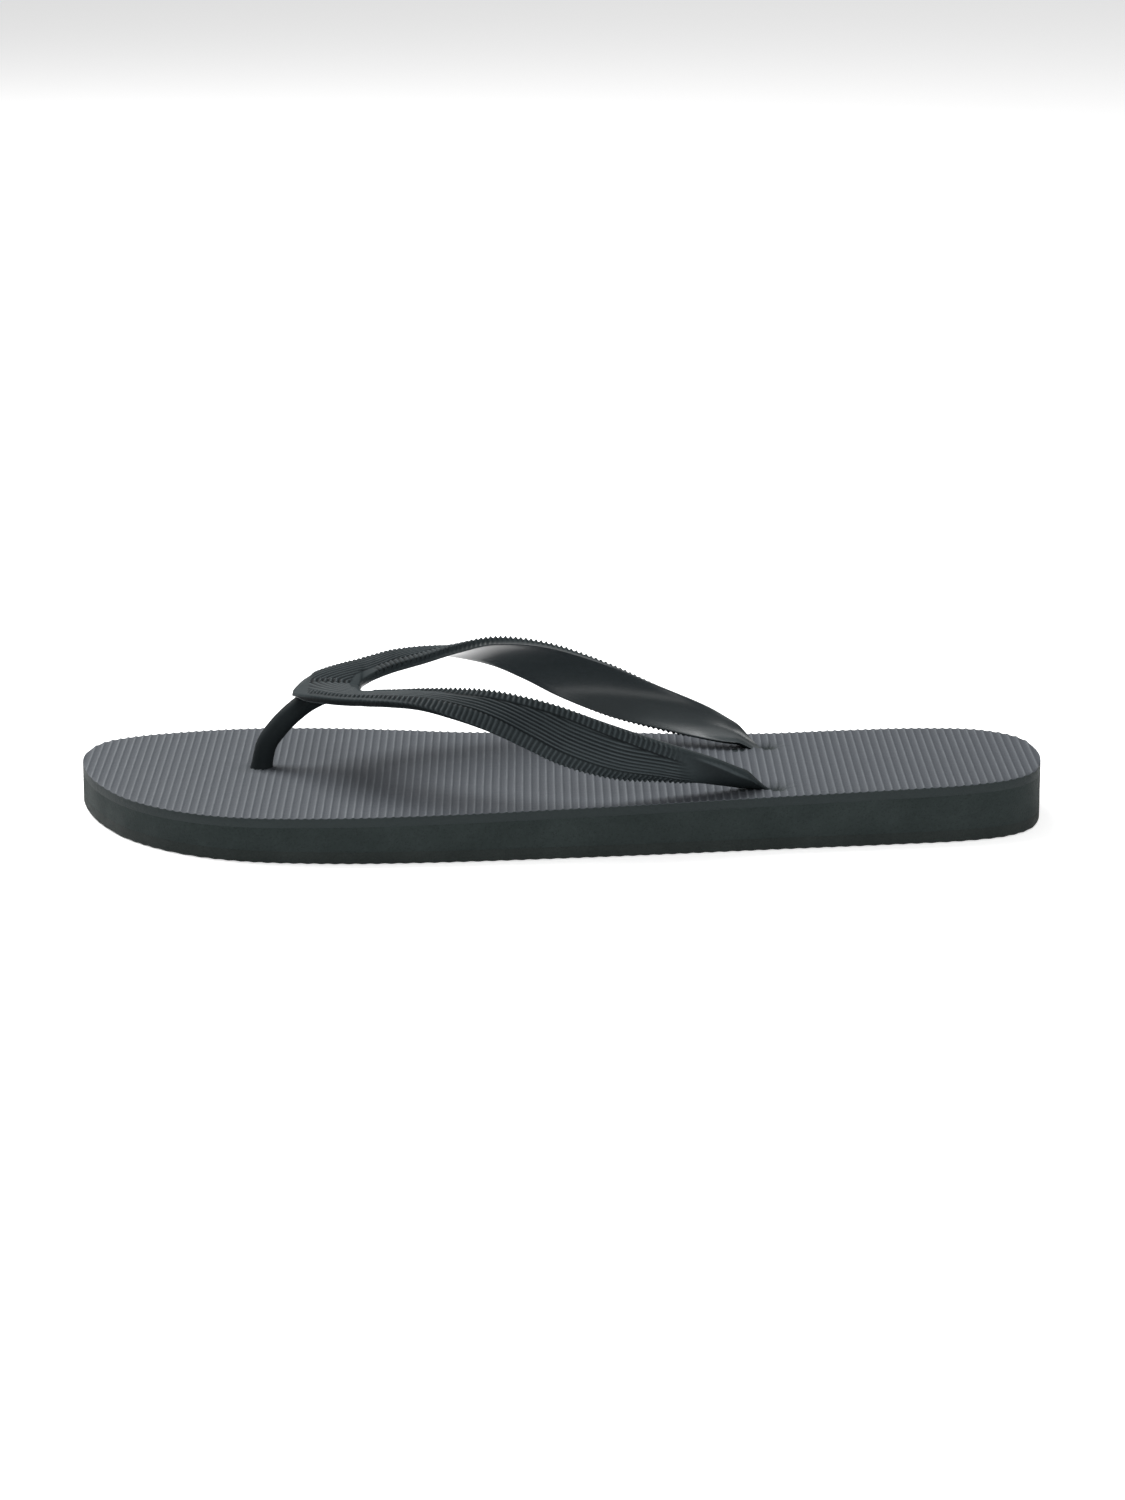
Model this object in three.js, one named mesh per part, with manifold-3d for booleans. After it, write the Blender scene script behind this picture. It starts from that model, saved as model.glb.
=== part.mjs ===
// Thong sandal (flip flop) for the left foot, in millimetres, +Z up.
// The toe points to -X and the heel to +X. -Y is the outer side of the foot, +Y the inner side.
// The origin is on the ground, under the middle of the sole.
// Every sole layer is in two halves that meet at the ball of the foot, where the sole bends.

import * as THREE from 'three';
import { mergeVertices } from 'three/addons/utils/BufferGeometryUtils.js';
import Module from 'manifold-3d';

const wasm = await Module();
wasm.setup();

// ---- Driving dimensions -------------------------------------------------------------------

const SOLE_LENGTH = 285;
const SOLE_WIDTH = 106.5;
const TOE_THICKNESS = 12.5;
const HEEL_THICKNESS = 17.7;
const FOOTBED_THICKNESS = 3;
const OUTSOLE_THICKNESS = 3.7;

const FLEX_ALONG = -0.149; // bend at the ball of the foot, share of length from the middle
const TOE_POST_ALONG = -0.31; // hole of the toe post, share of length from the middle
const TOE_POST_ACROSS = 0.07; // share of width, towards the inner side of the foot
const TOE_POST_DIAMETER = 6.2;

const STRAP_ARCH_HEIGHT = 31.4; // footbed to the highest edge of the strap
const STRAP_THICKNESS = 2.6;
const STRAP_CROWN = 0.7; // bulge of the outer face across its width
const STRAP_END_TAPER = 0.12; // share of a leg's length over which each end thins out
const STRAP_END_THICKNESS = 1;
const TAILS_ACROSS = -0.072; // middle between the two tails, share of width
const TAIL_STEM_DIAMETER = 5;
const STEM_ROOT = 2.4; // how far a stem reaches up into the strap from the footbed

const BUTTON_DIAMETER = 14;
const BUTTON_RECESS = 0.8; // button underside above the ground

const CLEARANCE = 0.3; // between neighbouring pieces, all round
const BOND_LINE = 0.3; // between two glued layers

// ---- Places worked out from the driving dimensions ------------------------------------------

const TOE_X = -SOLE_LENGTH / 2;
const FLEX_X = FLEX_ALONG * SOLE_LENGTH;
const TOE_POST_X = TOE_POST_ALONG * SOLE_LENGTH;
const TOE_POST_Y = TOE_POST_ACROSS * SOLE_WIDTH;
const TAILS_Y = TAILS_ACROSS * SOLE_WIDTH;
const SLOPE = (HEEL_THICKNESS - TOE_THICKNESS) / SOLE_LENGTH;

const topOfSole = (x) => TOE_THICKNESS + SLOPE * (x - TOE_X);

// The sole outline, as shares of its length and width from its middle. It runs from the toe
// tip down the outer side to the heel and back along the inner side.
const OUTLINE = [
  [-0.500, 0.188], [-0.493, 0.066], [-0.476, -0.076], [-0.438, -0.258], [-0.382, -0.397],
  [-0.320, -0.471], [-0.232, -0.499], [-0.140, -0.492], [0.042, -0.437], [0.221, -0.366],
  [0.333, -0.323], [0.417, -0.283], [0.460, -0.235], [0.487, -0.155], [0.500, 0.020],
  [0.487, 0.220], [0.449, 0.319], [0.386, 0.352], [0.300, 0.345], [0.225, 0.327],
  [0.150, 0.335], [0.070, 0.368], [-0.100, 0.410], [-0.175, 0.453], [-0.263, 0.493],
  [-0.340, 0.500], [-0.404, 0.474], [-0.449, 0.439], [-0.481, 0.385], [-0.496, 0.300],
];
const OUTLINE_STEPS = 96;

// The strap's outer face, section by section from the nose of the yoke to the tip of a tail.
// along: share of the sole length from its middle. inner, outer: distance of the two edges from
// the strap's middle, as shares of the sole width. innerRise, outerRise: their height above the
// footbed, as shares of the arch height. Ahead of the crotch both legs reach past the middle.
const STRAP_SECTIONS = [
  { along: -0.276, inner: -0.010, innerRise: 0.73, outer: 0.025, outerRise: 0.72 },
  { along: -0.266, inner: -0.015, innerRise: 0.78, outer: 0.090, outerRise: 0.77 },
  { along: -0.252, inner: -0.015, innerRise: 0.80, outer: 0.142, outerRise: 0.81 },
  { along: -0.228, inner: -0.015, innerRise: 0.79, outer: 0.202, outerRise: 0.84 },
  { along: -0.209, inner: -0.010, innerRise: 0.77, outer: 0.236, outerRise: 0.86 },
  { along: -0.203, inner: 0.060, innerRise: 0.78, outer: 0.247, outerRise: 0.87 },
  { along: -0.193, inner: 0.108, innerRise: 0.81, outer: 0.266, outerRise: 0.88 },
  { along: -0.175, inner: 0.150, innerRise: 0.85, outer: 0.296, outerRise: 0.90 },
  { along: -0.140, inner: 0.202, innerRise: 0.91, outer: 0.335, outerRise: 0.90 },
  { along: -0.105, inner: 0.264, innerRise: 0.97, outer: 0.372, outerRise: 0.83 },
  { along: -0.070, inner: 0.317, innerRise: 1.00, outer: 0.402, outerRise: 0.72 },
  { along: -0.035, inner: 0.346, innerRise: 0.965, outer: 0.412, outerRise: 0.56 },
  { along: 0.000, inner: 0.361, innerRise: 0.89, outer: 0.402, outerRise: 0.39 },
  { along: 0.053, inner: 0.369, innerRise: 0.71, outer: 0.360, outerRise: 0.21 },
  { along: 0.105, inner: 0.344, innerRise: 0.51, outer: 0.298, outerRise: 0.12 },
  { along: 0.158, inner: 0.308, innerRise: 0.31, outer: 0.240, outerRise: 0.04 },
  { along: 0.188, inner: 0.276, innerRise: 0.17, outer: 0.214, outerRise: 0.01 },
  { along: 0.222, inner: 0.224, innerRise: 0.03, outer: 0.216, outerRise: 0.01 },
];
const LEG_STEPS = 52;
const LEG_STEPS_ACROSS = 4;

// A tail's stem goes down from the outer edge of the last section but one.
const TAIL = STRAP_SECTIONS.at(-2);
const TAIL_STEM_X = TAIL.along * SOLE_LENGTH;
const TAIL_STEM_SPREAD = TAIL.outer * SOLE_WIDTH;

// The toe post's middle line above the footbed: how far it leans back towards the heel, and
// its height, as shares of the arch height.
const TOE_POST_LINE = [
  { lean: 0.02, rise: 0.08 }, { lean: 0.06, rise: 0.22 }, { lean: 0.15, rise: 0.35 },
  { lean: 0.26, rise: 0.47 }, { lean: 0.40, rise: 0.59 }, { lean: 0.53, rise: 0.68 },
];

// ---- Solids ---------------------------------------------------------------------------------

function toSolid(geometry) {
  const bare = geometry.clone();
  bare.deleteAttribute('normal');
  bare.deleteAttribute('uv');
  const welded = mergeVertices(bare, 1e-4);
  const mesh = new wasm.Mesh({
    numProp: 3,
    vertProperties: new Float32Array(welded.attributes.position.array),
    triVerts: new Uint32Array(welded.index.array),
  });
  return new wasm.Manifold(mesh);
}

function toGeometry(solid) {
  const mesh = solid.getMesh();
  const geometry = new THREE.BufferGeometry();
  geometry.setAttribute('position', new THREE.BufferAttribute(mesh.vertProperties, 3));
  geometry.setIndex(new THREE.BufferAttribute(mesh.triVerts, 1));
  geometry.computeVertexNormals();
  return geometry;
}

function moveVertices(geometry, place) {
  const position = geometry.attributes.position;
  for (let i = 0; i < position.count; i += 1) {
    const point = place(position.getX(i), position.getY(i), position.getZ(i));
    position.setXYZ(i, point.x, point.y, point.z);
  }
  return geometry;
}

// ---- Sole layers ----------------------------------------------------------------------------

// The strap's middle line runs from the toe post to half way between the tails.
const strapMiddle = (x) => {
  const back = (x - TOE_POST_X) / (TAIL_STEM_X - TOE_POST_X);
  return TOE_POST_Y + (TAILS_Y - TOE_POST_Y) * back;
};

const STEMS = [
  { x: TOE_POST_X, y: TOE_POST_Y, diameter: TOE_POST_DIAMETER },
  { x: TAIL_STEM_X, y: TAILS_Y - TAIL_STEM_SPREAD, diameter: TAIL_STEM_DIAMETER },
  { x: TAIL_STEM_X, y: TAILS_Y + TAIL_STEM_SPREAD, diameter: TAIL_STEM_DIAMETER },
];

function soleShape(holeDiameter) {
  const corners = OUTLINE.map(
    ([along, across]) => new THREE.Vector3(along * SOLE_LENGTH, across * SOLE_WIDTH, 0),
  );
  const edge = new THREE.CatmullRomCurve3(corners, true, 'centripetal');
  const points = edge.getSpacedPoints(OUTLINE_STEPS).slice(0, -1);
  const shape = new THREE.Shape(points.map((point) => new THREE.Vector2(point.x, point.y)));
  for (const stem of STEMS) {
    const hole = new THREE.Path();
    hole.absarc(stem.x, stem.y, holeDiameter(stem) / 2 + CLEARANCE, 0, 2 * Math.PI, true);
    shape.holes.push(hole);
  }
  return shape;
}

// One whole layer between two heights that may change along the sole.
function layer(bottom, top, holeDiameter) {
  const slab = new THREE.ExtrudeGeometry(soleShape(holeDiameter), {
    depth: 1,
    bevelEnabled: false,
    curveSegments: 14,
  });
  return moveVertices(slab, (x, y, share) => {
    const z = bottom(x) + (top(x) - bottom(x)) * share;
    return new THREE.Vector3(x, y, z);
  });
}

// The part of a layer ahead of the bend (side -1) or behind it (side 1).
function half(geometry, side) {
  const box = new THREE.BoxGeometry(SOLE_LENGTH, 2 * SOLE_WIDTH, 4 * HEEL_THICKNESS);
  box.translate(FLEX_X + side * (SOLE_LENGTH + CLEARANCE) / 2, 0, 0);
  return toGeometry(toSolid(geometry).intersect(toSolid(box)));
}

const underFootbed = (x) => topOfSole(x) - FOOTBED_THICKNESS;
const stemHole = (stem) => stem.diameter;
const buttonHole = () => BUTTON_DIAMETER;

const outsole = layer(() => 0, () => OUTSOLE_THICKNESS, buttonHole);
const midsole = layer(
  () => OUTSOLE_THICKNESS + BOND_LINE,
  (x) => underFootbed(x) - BOND_LINE,
  stemHole,
);
const footbed = layer(underFootbed, topOfSole, stemHole);

// ---- Strap ----------------------------------------------------------------------------------

// A leg runs from the nose of the yoke to the tip of its tail. side is -1 for the outer side
// of the foot and 1 for the inner side.
function strapLeg(side) {
  const edge = (apart, rise) => new THREE.CatmullRomCurve3(
    STRAP_SECTIONS.map((section) => new THREE.Vector3(
      section.along * SOLE_LENGTH,
      section[apart] * SOLE_WIDTH,
      section[rise] * STRAP_ARCH_HEIGHT,
    )),
    false,
    'centripetal',
  );
  const innerEdge = edge('inner', 'innerRise');
  const outerEdge = edge('outer', 'outerRise');

  const blank = new THREE.BoxGeometry(1, 1, 1, LEG_STEPS, LEG_STEPS_ACROSS, 1);
  return moveVertices(blank, (u, v, w) => {
    const inner = innerEdge.getPoint(u + 0.5);
    const outer = outerEdge.getPoint(u + 0.5);
    const across = new THREE.Vector2(outer.y - inner.y, outer.z - inner.z).normalize();
    const point = inner.lerp(outer, v + 0.5);
    const body = THREE.MathUtils.smoothstep(0.5 - Math.abs(u), 0, STRAP_END_TAPER);
    const thickness = THREE.MathUtils.lerp(STRAP_END_THICKNESS, STRAP_THICKNESS, body);
    const crown = STRAP_CROWN * body * (1 - 4 * v * v);
    const depth = crown - thickness * (0.5 - w);
    const apart = point.y - across.y * depth;
    const height = Math.max(point.z + across.x * depth, CLEARANCE);
    return new THREE.Vector3(
      point.x,
      strapMiddle(point.x) + side * apart,
      topOfSole(point.x) + height,
    );
  });
}

// A mirrored leg has its faces turned inside out, so they are turned back.
function turnFaces(geometry) {
  const index = geometry.index.array;
  for (let i = 0; i < index.length; i += 3) {
    const first = index[i];
    index[i] = index[i + 1];
    index[i + 1] = first;
  }
  return geometry;
}

function toePost() {
  const middle = TOE_POST_LINE.map(({ lean, rise }) => new THREE.Vector3(
    TOE_POST_X + lean * STRAP_ARCH_HEIGHT,
    TOE_POST_Y,
    topOfSole(TOE_POST_X) + rise * STRAP_ARCH_HEIGHT,
  ));
  const foot = new THREE.Vector3(TOE_POST_X, TOE_POST_Y, topOfSole(TOE_POST_X) - 1);
  const section = new THREE.Shape().absarc(0, 0, TOE_POST_DIAMETER / 2, 0, 2 * Math.PI, false);
  return new THREE.ExtrudeGeometry(section, {
    extrudePath: new THREE.CatmullRomCurve3([foot, ...middle]),
    steps: 16,
    curveSegments: 9,
  });
}

// A stem through the sole with the button that holds it from below.
function stemAndButton({ x, y, diameter }) {
  const stemRadius = diameter / 2;
  const buttonRadius = BUTTON_DIAMETER / 2;
  const edgeRound = 0.8;
  const buttonTop = OUTSOLE_THICKNESS;
  const stemTop = topOfSole(x) + STEM_ROOT;
  const profile = [
    [0, BUTTON_RECESS],
    [buttonRadius - edgeRound, BUTTON_RECESS],
    [buttonRadius, BUTTON_RECESS + edgeRound],
    [buttonRadius, buttonTop],
    [stemRadius, buttonTop],
    [stemRadius, stemTop],
    [0, stemTop],
  ].map(([radius, height]) => new THREE.Vector2(radius, height));
  const turned = new THREE.LatheGeometry(profile, 28);
  turned.rotateX(Math.PI / 2);
  turned.translate(x, y, 0);
  return turned;
}

function thongStrap() {
  let solid = toSolid(turnFaces(strapLeg(-1))).add(toSolid(strapLeg(1)));
  solid = solid.add(toSolid(toePost()));
  for (const stem of STEMS) {
    solid = solid.add(toSolid(stemAndButton(stem)));
  }
  return toGeometry(solid);
}

// ---- The sandal -----------------------------------------------------------------------------

const sandal = new THREE.Group();

function addPiece(name, geometry, color, roughness) {
  const material = new THREE.MeshStandardMaterial({ color, roughness, metalness: 0 });
  const mesh = new THREE.Mesh(geometry, material);
  mesh.name = name;
  sandal.add(mesh);
}

const SIDES = [['front', -1], ['rear', 1]];
for (const [place, side] of SIDES) {
  addPiece(`footbed_${place}`, half(footbed, side), 0x5c6164, 0.8);
  addPiece(`midsole_${place}`, half(midsole, side), 0x323736, 0.85);
  addPiece(`outsole_${place}`, half(outsole, side), 0x2c302f, 0.85);
}
addPiece('thong_strap', thongStrap(), 0x343a3b, 0.5);

export default sandal;
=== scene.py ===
"""Left thong sandal (flip flop): ribbed footbed, foam midsole, treaded outsole, moulded strap.

The frame has X from the toe to the heel, Y towards the inner side of the foot and Z up.
Shapes are worked out in millimetres and turned to metres when a mesh is finished.
"""
import math

import bmesh
import bpy
import numpy as np
from mathutils import Matrix, Vector


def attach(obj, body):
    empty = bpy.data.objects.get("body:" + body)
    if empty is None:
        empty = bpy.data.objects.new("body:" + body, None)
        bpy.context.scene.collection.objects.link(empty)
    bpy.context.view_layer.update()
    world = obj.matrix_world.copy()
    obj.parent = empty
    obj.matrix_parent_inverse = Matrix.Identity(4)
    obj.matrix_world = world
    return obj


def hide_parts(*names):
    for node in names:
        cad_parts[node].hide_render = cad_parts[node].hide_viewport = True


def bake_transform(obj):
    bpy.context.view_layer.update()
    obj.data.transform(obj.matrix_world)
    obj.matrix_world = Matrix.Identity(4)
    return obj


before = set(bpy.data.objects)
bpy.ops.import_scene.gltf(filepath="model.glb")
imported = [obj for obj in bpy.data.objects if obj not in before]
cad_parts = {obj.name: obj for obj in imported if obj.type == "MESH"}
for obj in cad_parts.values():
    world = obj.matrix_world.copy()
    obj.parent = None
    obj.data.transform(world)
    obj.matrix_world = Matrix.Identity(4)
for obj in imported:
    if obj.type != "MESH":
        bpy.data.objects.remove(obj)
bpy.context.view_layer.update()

MM = 0.001

# ---- Camera ---------------------------------------------------------------------------------

SENSOR_WIDTH = 36.0
LENS = 103.8
CAMERA_TURN = math.radians(0.5)
CAMERA_TILT = math.radians(14.5)
CAMERA_DISTANCE = 1257.07 * MM
LOOKED_AT = Vector((0.95, -19.7, 25.0)) * MM

camera = bpy.data.objects.new("camera", bpy.data.cameras.new("camera"))
bpy.context.scene.collection.objects.link(camera)
bpy.context.scene.camera = camera
camera.data.sensor_width = SENSOR_WIDTH
camera.data.lens = LENS
camera.data.clip_start = 0.05
camera.data.clip_end = 100.0
looking = Vector((
    math.sin(CAMERA_TURN) * math.cos(CAMERA_TILT),
    math.cos(CAMERA_TURN) * math.cos(CAMERA_TILT),
    -math.sin(CAMERA_TILT),
))
camera.location = LOOKED_AT - looking * CAMERA_DISTANCE
camera.rotation_euler = looking.to_track_quat("-Z", "Y").to_euler()

# ---- Sizes of the sandal --------------------------------------------------------------------

SOLE_LENGTH = 285.0
SOLE_WIDTH = 106.5
TOE_THICKNESS = 12.5
HEEL_THICKNESS = 17.7
FOOTBED_THICKNESS = 3.0
OUTSOLE_THICKNESS = 3.7
TOE_X = -SOLE_LENGTH / 2
SLOPE = (HEEL_THICKNESS - TOE_THICKNESS) / SOLE_LENGTH

STRAP_ARCH_HEIGHT = 31.4
STRAP_THICKNESS = 2.6
STRAP_END_THICKNESS = 1.0
STRAP_CROWN = 0.7
REAR_CROWN = 2.0
STRAP_END_TAPER = 0.12
TAIL_END_TAPER = 0.06

# How far each tail's lower edge and its tip sink, and how far the tip moves in and forwards.
TAIL_EDGE_SINK = 0.8
TAIL_TIP_SINK = 2.4
TAIL_TIP_SHIFT = 3.0
TAIL_TIP_PULL = 1.9
TAIL_BEND_X = 42.0

TOE_POST_X = -0.31 * SOLE_LENGTH
TOE_POST_Y = 0.07 * SOLE_WIDTH
TOE_POST_RADIUS = 3.1
POST_FLARE = 1.3
POST_FOOT = 0.5
POST_PAINTED_SHADE = 0.6
TAILS_Y = -0.072 * SOLE_WIDTH
TAIL_STEM_RADIUS = 2.5
BUTTON_RADIUS = 7.0
BUTTON_RECESS = 0.8
HOLE_RADIUS = BUTTON_RADIUS + 0.3
SHARP_ANGLE = 50

# Sole edge, as shares of length and width: toe tip, outer side, heel, inner side.
OUTLINE = [
    (-0.500, 0.188), (-0.493, 0.066), (-0.476, -0.076), (-0.438, -0.258), (-0.382, -0.397),
    (-0.320, -0.471), (-0.232, -0.499), (-0.140, -0.492), (0.042, -0.437), (0.221, -0.366),
    (0.333, -0.323), (0.417, -0.283), (0.460, -0.235), (0.487, -0.155), (0.500, 0.020),
    (0.487, 0.220), (0.449, 0.319), (0.386, 0.352), (0.300, 0.345), (0.225, 0.327),
    (0.150, 0.335), (0.070, 0.368), (-0.100, 0.410), (-0.175, 0.453), (-0.263, 0.493),
    (-0.340, 0.500), (-0.404, 0.474), (-0.449, 0.439), (-0.481, 0.385), (-0.496, 0.300),
]

# Strap sections from the nose of the yoke to the tip of a tail: place along the sole, then
# distance from the strap's middle and height above the footbed, of the inner and outer edges.
# Shares of the sole length, the sole width and the arch height.
STRAP_SECTIONS = [
    (-0.276, -0.010, 0.73, 0.025, 0.72),
    (-0.266, -0.015, 0.78, 0.090, 0.77),
    (-0.252, -0.015, 0.80, 0.142, 0.81),
    (-0.228, -0.015, 0.79, 0.202, 0.84),
    (-0.209, -0.010, 0.77, 0.236, 0.86),
    (-0.2030, 0.064, 0.78, 0.247, 0.87),
    (-0.193, 0.108, 0.81, 0.266, 0.88),
    (-0.175, 0.150, 0.85, 0.296, 0.90),
    (-0.140, 0.202, 0.91, 0.335, 0.90),
    (-0.105, 0.264, 0.97, 0.372, 0.83),
    (-0.070, 0.317, 1.00, 0.402, 0.72),
    (-0.035, 0.346, 0.965, 0.412, 0.56),
    (0.000, 0.361, 0.89, 0.402, 0.39),
    (0.053, 0.369, 0.71, 0.360, 0.21),
    (0.105, 0.344, 0.51, 0.298, 0.12),
    (0.158, 0.308, 0.31, 0.240, 0.04),
    (0.188, 0.276, 0.17, 0.214, 0.01),
    (0.222, 0.224, 0.03, 0.216, 0.01),
]
TAIL_STEM_X = STRAP_SECTIONS[-2][0] * SOLE_LENGTH
TAIL_STEM_SPREAD = STRAP_SECTIONS[-2][3] * SOLE_WIDTH
TAIL_TIP_X = STRAP_SECTIONS[-1][0] * SOLE_LENGTH
TAIL_TIP_SPREAD = STRAP_SECTIONS[-1][1] * SOLE_WIDTH

# Toe post's middle line above the footbed, as shares of the arch height: how far it leans
# back and its height. The last point is inside the yoke.
TOE_POST_LINE = [
    (0.0, -0.06), (0.02, 0.08), (0.06, 0.22), (0.15, 0.35), (0.26, 0.47), (0.40, 0.59),
    (0.53, 0.68), (0.585, 0.72),
]

# Ribs and beads of the surfaces
RIB_PITCH_TOE = 2.25
RIB_PITCH_HEEL = 2.35
RIB_HEIGHT = 0.3
RIB_SHARPNESS = 2.8
ROWS_PER_RIB = 8
TREAD_PITCH = 4.0
TREAD_DEPTH = 0.6
TREAD_WAVE = 1.3
TREAD_WAVE_LENGTH = 21.0
STRAP_RIB_PITCH = 1.05
YOKE_RIB_PITCH = 1.75
STRAP_RIB_HEIGHT = 0.40
BEAD_PITCH = 1.6
BEAD_HEIGHT = 0.66
BEAD_LENGTH = 2.7
LOWER_BEAD_LENGTH = 3.5
SHOULDER_WIDTH = 3.4
SHOULDER_DROP = 1.2
YOKE_SHOULDER_DROP = 0.25

# Hollows in the footbed: radius, depth and strength of their painted shade.
POST_HOLLOW = (4.6, 0.55, 0.5)
TAIL_HOLLOW = (2.4, 1.5, 1.3)
CREASES = 9
CREASE_DEPTH = 0.25


def top_of_sole(x):
    return TOE_THICKNESS + SLOPE * (x - TOE_X)


def strap_middle(x):
    back = (x - TOE_POST_X) / (TAIL_STEM_X - TOE_POST_X)
    return TOE_POST_Y + (TAILS_Y - TOE_POST_Y) * back


# ---- Curves and distances -------------------------------------------------------------------

def smooth_curve(corners, share, closed=False):
    """Points at the given shares (0 to 1) of a centripetal curve through the corners."""
    corners = np.asarray(corners, float)
    count = len(corners)
    if closed:
        padded = np.vstack([corners[-1:], corners, corners[:2]])
        spans = count
    else:
        first = 2 * corners[:1] - corners[1:2]
        last = 2 * corners[-1:] - corners[-2:-1]
        padded = np.vstack([first, corners, last])
        spans = count - 1
    place = np.clip(np.asarray(share, float), 0, 1) * spans
    span = np.minimum(place.astype(int), spans - 1)
    t = (place - span)[:, None]
    before, start, end, after = (padded[span + step] for step in range(4))
    gap_before = np.sqrt(np.linalg.norm(start - before, axis=1))[:, None]
    gap = np.sqrt(np.linalg.norm(end - start, axis=1))[:, None]
    gap_after = np.sqrt(np.linalg.norm(after - end, axis=1))[:, None]
    leave = (start - before) / gap_before - (end - before) / (gap_before + gap)
    leave = (leave + (end - start) / gap) * gap
    arrive = (end - start) / gap - (after - start) / (gap + gap_after)
    arrive = (arrive + (after - end) / gap_after) * gap
    bend = -3 * start + 3 * end - 2 * leave - arrive
    twist = 2 * start - 2 * end + leave + arrive
    return start + leave * t + bend * t ** 2 + twist * t ** 3


def nearest_on(line, points):
    """How far each point is from a line of close points, and how far along the line."""
    steps = np.linalg.norm(np.diff(line, axis=0), axis=1)
    travelled = np.concatenate([[0.0], np.cumsum(steps)])
    heading = np.gradient(line, axis=0)
    heading /= np.linalg.norm(heading, axis=1)[:, None]
    distance = np.empty(len(points))
    along = np.empty(len(points))
    reach = 0.6 * steps.max()
    for first in range(0, len(points), 4000):
        part = points[first:first + 4000]
        gaps = part[:, None, :] - line[None]
        near = np.argmin(np.einsum("ijk,ijk->ij", gaps, gaps), axis=1)
        gap = part - line[near]
        slide = np.clip(np.einsum("ij,ij->i", gap, heading[near]), -reach, reach)
        rest = gap - slide[:, None] * heading[near]
        distance[first:first + 4000] = np.linalg.norm(rest, axis=1)
        along[first:first + 4000] = travelled[near] + slide
    return distance, along


def ease(value, low, high):
    t = np.clip((value - low) / (high - low), 0, 1)
    return t * t * (3 - 2 * t)


def round_over(distance, radius):
    """Drop of a rounded edge at a distance in from it."""
    inside = np.clip(radius - distance, 0, radius)
    return radius - np.sqrt(radius ** 2 - inside ** 2)


# ---- Making meshes --------------------------------------------------------------------------

def link_piece(name, shape, material, sharp_above=None):
    """Closes a bmesh worked in millimetres into a finished piece in metres."""
    bmesh.ops.recalc_face_normals(shape, faces=shape.faces)
    bmesh.ops.scale(shape, vec=(MM, MM, MM), verts=shape.verts)
    mesh = bpy.data.meshes.new(name)
    shape.to_mesh(mesh)
    shape.free()
    mesh.shade_smooth()
    if sharp_above is not None:
        mesh.set_sharp_from_angle(angle=math.radians(sharp_above))
    mesh.materials.append(material)
    piece = bpy.data.objects.new(name, mesh)
    bpy.context.scene.collection.objects.link(piece)
    return piece


def grid_of(points, values):
    """A grid shaped to rows of points, with each named value kept on its vertices."""
    rows, columns = points.shape[:2]
    shape = bmesh.new()
    bmesh.ops.create_grid(shape, x_segments=columns - 1, y_segments=rows - 1, size=1.0)
    layers = {name: shape.verts.layers.float.new(name) for name in values}
    flat = points.reshape(-1, 3).tolist()
    for vert, place in zip(shape.verts, flat):
        vert.co = place
    for name, layer in layers.items():
        for vert, value in zip(shape.verts, values[name].reshape(-1).tolist()):
            vert[layer] = value
    return shape


# ---- Sole layers ----------------------------------------------------------------------------

edge_line = smooth_curve(
    [(along * SOLE_LENGTH, across * SOLE_WIDTH) for along, across in OUTLINE],
    np.linspace(0, 1, 1801),
    closed=True,
)[:-1]
edge_line = np.roll(edge_line, -int(np.argmin(edge_line[:, 0])), axis=0)
heel = int(np.argmax(edge_line[:, 0]))
outer_side = edge_line[:heel + 1]
inner_side = np.vstack([edge_line[heel:], edge_line[:1]])[::-1]
toe_tip = outer_side[0, 0]
heel_tip = outer_side[-1, 0]

END_STATIONS = np.array([0.0, 0.03, 0.1, 0.22, 0.4, 0.65, 1.0, 1.4, 1.9])
RIM_STEPS = np.array([0.0, 0.13, 0.5, 1.0])

# Where the strap's three ends are, as shares of the sole's width at each of them.
OUTER_TAIL_SHARE = 0.132
INNER_TAIL_SHARE = 0.781
TOE_POST_SHARE = 0.565
SMALLEST_SHARE = 0.003


def stations(spacing):
    """Places along the sole, closer together where the toe and the heel are round."""
    count = int((heel_tip - toe_tip - 2 * END_STATIONS[-1]) / spacing)
    middle = np.linspace(toe_tip + END_STATIONS[-1], heel_tip - END_STATIONS[-1], count)
    return np.concatenate([
        toe_tip + END_STATIONS[:-1],
        middle,
        (heel_tip - END_STATIONS[:-1])[::-1],
    ])


def across_shares(columns, rim):
    """Distances in from the edges: rim steps, then shares, close together by the strap's ends."""
    even = np.linspace(0, 1, columns)[1:-1]
    near_tails = np.arange(-4, 5) * 0.0075
    near_post = np.arange(-2, 3) * 0.018
    shares = np.sort(np.concatenate([
        even,
        OUTER_TAIL_SHARE + near_tails,
        INNER_TAIL_SHARE + near_tails,
        TOE_POST_SHARE + near_post,
    ]))
    apart = np.concatenate([[True], np.diff(shares) > SMALLEST_SHARE])
    return RIM_STEPS * rim, shares[apart]


def spread(low, high, rim, columns):
    """Places across each row, from one edge to the other."""
    width = high - low
    rims, shares = across_shares(columns, rim)
    steps = np.minimum(rims[None], (width / 6)[:, None] * rims[None] / rims[-1])
    inset = steps[:, -1]
    left = low[:, None] + steps
    right = (high[:, None] - steps)[:, ::-1]
    middle = (low + inset)[:, None] + (width - 2 * inset)[:, None] * shares[None]
    return np.hstack([left, middle, right])


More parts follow.
